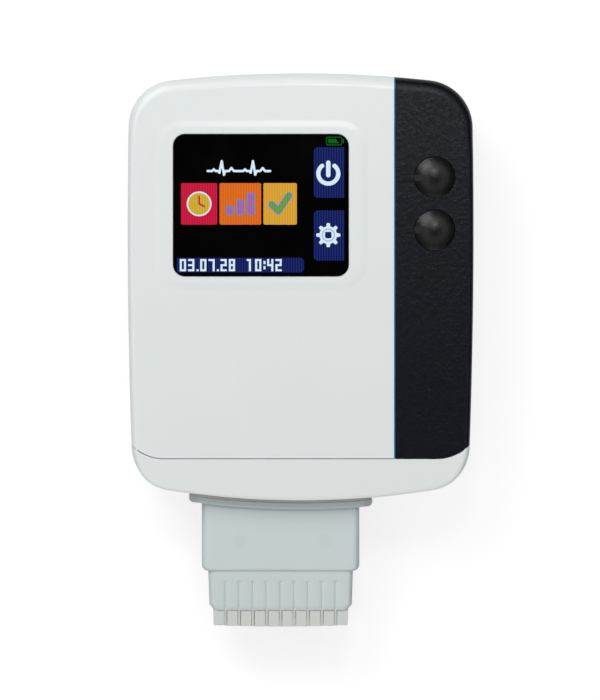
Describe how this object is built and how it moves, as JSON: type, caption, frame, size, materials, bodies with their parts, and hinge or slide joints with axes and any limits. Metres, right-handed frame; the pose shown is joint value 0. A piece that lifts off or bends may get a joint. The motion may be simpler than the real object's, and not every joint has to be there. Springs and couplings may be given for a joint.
{
  "type": "holter monitor",
  "caption": "Pocket heart recorder with a display, sprung buttons, an end cap with its patient cable plug pushed in, and a sliding battery door.",
  "frame": {"origin": "centre of the bounding box on the plane of the flat back, with the plug pushed in", "axes": "+X to the right of the front face, +Y to the top end, away from the plug, +Z out of the front face; the recorder lies on its back"},
  "size_m": [0.07, 0.1118, 0.0233],
  "materials": {
    "white_case": "white moulded plastic, fine satin",
    "charcoal_grip": "charcoal soft-touch skin with a fine grain",
    "blue_accent": "blue satin trim",
    "black_plastic": "black smooth plastic",
    "plug_grey": "light grey moulded plastic, satin",
    "display_pane": "glossy black printed pane",
    "seal_rubber": "dark matt rubber",
    "lead_sleeve": "light grey soft sleeve",
    "steel": "plated steel",
    "board_green": "green solder mask",
    "chip_black": "black chip resin",
    "amber_flex": "amber flexible film",
    "battery_wrap": "blue shrink wrap",
    "contact_brass": "gold flashed contacts"
  },
  "bodies": {
    "recorder": {"rear_cover": "white_case", "front_cover": "white_case", "grip_panel": "charcoal_grip", "accent_strip": "blue_accent", "display_window": "display_pane", "window_gasket": "seal_rubber", "display_panel": "display_pane", "display_frame": "black_plastic", "display_flex": "amber_flex", "flex_connector": "black_plastic", "main_board": "board_green", "processor_chip": "chip_black", "memory_chip": "chip_black", "amplifier_chip": "chip_black", "shield_can": "steel", "card_socket": "steel", "memory_card": "chip_black", "cell_holder": "black_plastic", "clock_cell": "steel", "upper_switch_housing": "black_plastic", "lower_switch_housing": "black_plastic", "patient_socket": "black_plastic", "battery_pack": "battery_wrap", "battery_contact_block": "contact_brass", "case_seal": "seal_rubber", "end_cap": "white_case", "end_cap_seal": "seal_rubber", "end_cap_screw_1": "steel", "end_cap_screw_2": "steel", "case_screw_1": "steel", "case_screw_2": "steel", "case_screw_3": "steel", "case_screw_4": "steel", "board_screw_1": "steel", "board_screw_2": "steel", "board_screw_3": "steel"},
    "upper_button": {"upper_button": "black_plastic", "upper_switch_plunger": "plug_grey"},
    "lower_button": {"lower_button": "black_plastic", "lower_switch_plunger": "plug_grey"},
    "plug": {"plug_front_shell": "plug_grey", "plug_rear_shell": "plug_grey", "plug_seal": "seal_rubber", "plug_contact_block": "black_plastic", "plug_board": "board_green", "lead_grommet": "lead_sleeve", "plug_screw_1": "steel", "plug_screw_2": "steel"},
    "battery_door": {"battery_door": "white_case"}
  },
  "joints": [
    {"name": "upper_button_press", "type": "slide", "parent": "recorder", "child": "upper_button", "axis": [0, 0, -1], "range_m": [0, 0.0005], "stiffness_N_per_m": 500},
    {"name": "lower_button_press", "type": "slide", "parent": "recorder", "child": "lower_button", "axis": [0, 0, -1], "range_m": [0, 0.0005], "stiffness_N_per_m": 500},
    {"name": "plug_pull", "type": "slide", "parent": "recorder", "child": "plug", "axis": [0, -1, 0], "range_m": [0, 0.014]},
    {"name": "battery_door_slide", "type": "slide", "parent": "recorder", "child": "battery_door", "axis": [0, 1, 0], "range_m": [0, 0.062]}
  ]
}
